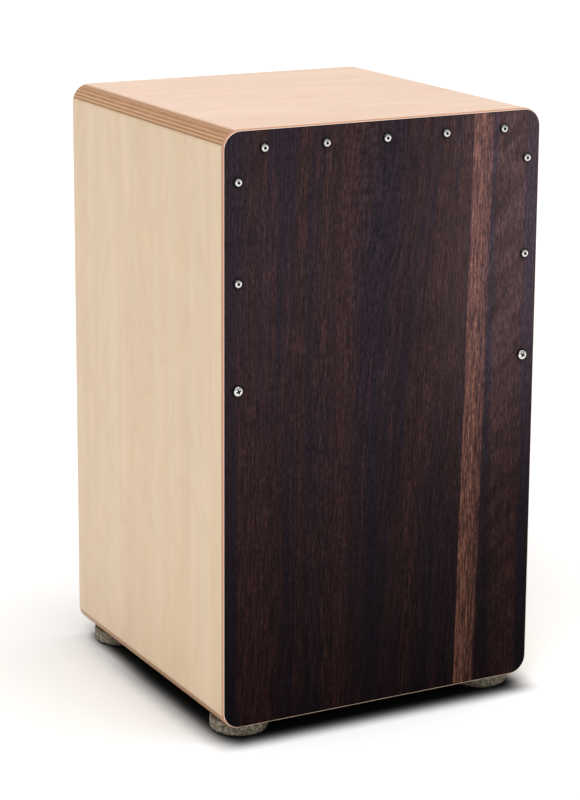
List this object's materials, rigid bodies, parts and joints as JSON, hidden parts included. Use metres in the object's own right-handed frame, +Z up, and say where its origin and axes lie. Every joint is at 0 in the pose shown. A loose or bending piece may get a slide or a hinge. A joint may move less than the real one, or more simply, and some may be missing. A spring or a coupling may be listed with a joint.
{
  "type": "cajon",
  "caption": "Upright plywood box drum with a dark playing plate, round feet, a rear sound hole, adjusting screws and a removable snare rail.",
  "frame": {"origin": "on the floor, under the middle of the drum's whole outline", "axes": "+Z up, +X to the right of a person who faces the playing plate, -Y out of the playing plate"},
  "size_m": [0.3, 0.3026, 0.517],
  "materials": {
    "birch_ply": "clear satin lacquer over birch plywood",
    "seat_ply": "clear satin lacquer over birch plywood with a pinkish face veneer",
    "dark_plate": "satin lacquer over dark streaked veneer",
    "beech_batten": "sanded solid beech",
    "felt_lining": "dense wool felt",
    "cork_rubber": "speckled cork and rubber granulate",
    "bright_steel": "bright nickel plate",
    "snare_wire": "drawn steel wire",
    "brass_inserts": "turned brass"
  },
  "bodies": {
    "box": {"seat_board": "seat_ply", "base_board": "birch_ply", "left_side_wall": "birch_ply", "right_side_wall": "birch_ply", "rear_wall": "birch_ply", "playing_plate": "dark_plate", "front_top_batten": "beech_batten", "front_bottom_batten": "beech_batten", "front_left_batten": "beech_batten", "front_right_batten": "beech_batten", "rear_top_batten": "beech_batten", "rear_bottom_batten": "beech_batten", "rear_left_batten": "beech_batten", "rear_right_batten": "beech_batten", "left_rail_bracket": "beech_batten", "right_rail_bracket": "beech_batten", "left_bracket_felt": "felt_lining", "right_bracket_felt": "felt_lining", "bracket_screws": "bright_steel", "threaded_inserts": "brass_inserts", "cross_recess_screws": "bright_steel", "front_left_foot": "cork_rubber", "front_right_foot": "cork_rubber", "rear_left_foot": "cork_rubber", "rear_right_foot": "cork_rubber", "foot_washers": "bright_steel", "foot_screws": "bright_steel"},
    "snare_unit": {"snare_rail": "beech_batten", "snare_spacer": "beech_batten", "left_snare_plate": "bright_steel", "right_snare_plate": "bright_steel", "left_snare_strands": "snare_wire", "right_snare_strands": "snare_wire", "left_tail_plate": "bright_steel", "right_tail_plate": "bright_steel", "snare_plate_screws": "bright_steel"},
    "top_screw_1_body": {"top_screw_1": "bright_steel"},
    "top_screw_2_body": {"top_screw_2": "bright_steel"},
    "top_screw_3_body": {"top_screw_3": "bright_steel"},
    "top_screw_4_body": {"top_screw_4": "bright_steel"},
    "top_screw_5_body": {"top_screw_5": "bright_steel"},
    "left_screw_1_body": {"left_screw_1": "bright_steel"},
    "left_screw_2_body": {"left_screw_2": "bright_steel"},
    "right_screw_1_body": {"right_screw_1": "bright_steel"},
    "right_screw_2_body": {"right_screw_2": "bright_steel"}
  },
  "joints": [
    {"name": "snare_unit_slide", "type": "slide", "parent": "box", "child": "snare_unit", "axis": [0, 1, 0], "range_m": [0, 0.12]},
    {"name": "top_screw_1_back_out", "type": "slide", "parent": "box", "child": "top_screw_1_body", "axis": [0, -1, 0], "range_m": [0, 0.002]},
    {"name": "top_screw_2_back_out", "type": "slide", "parent": "box", "child": "top_screw_2_body", "axis": [0, -1, 0], "range_m": [0, 0.002]},
    {"name": "top_screw_3_back_out", "type": "slide", "parent": "box", "child": "top_screw_3_body", "axis": [0, -1, 0], "range_m": [0, 0.002]},
    {"name": "top_screw_4_back_out", "type": "slide", "parent": "box", "child": "top_screw_4_body", "axis": [0, -1, 0], "range_m": [0, 0.002]},
    {"name": "top_screw_5_back_out", "type": "slide", "parent": "box", "child": "top_screw_5_body", "axis": [0, -1, 0], "range_m": [0, 0.002]},
    {"name": "left_screw_1_back_out", "type": "slide", "parent": "box", "child": "left_screw_1_body", "axis": [0, -1, 0], "range_m": [0, 0.002]},
    {"name": "left_screw_2_back_out", "type": "slide", "parent": "box", "child": "left_screw_2_body", "axis": [0, -1, 0], "range_m": [0, 0.002]},
    {"name": "right_screw_1_back_out", "type": "slide", "parent": "box", "child": "right_screw_1_body", "axis": [0, -1, 0], "range_m": [0, 0.002]},
    {"name": "right_screw_2_back_out", "type": "slide", "parent": "box", "child": "right_screw_2_body", "axis": [0, -1, 0], "range_m": [0, 0.002]}
  ]
}
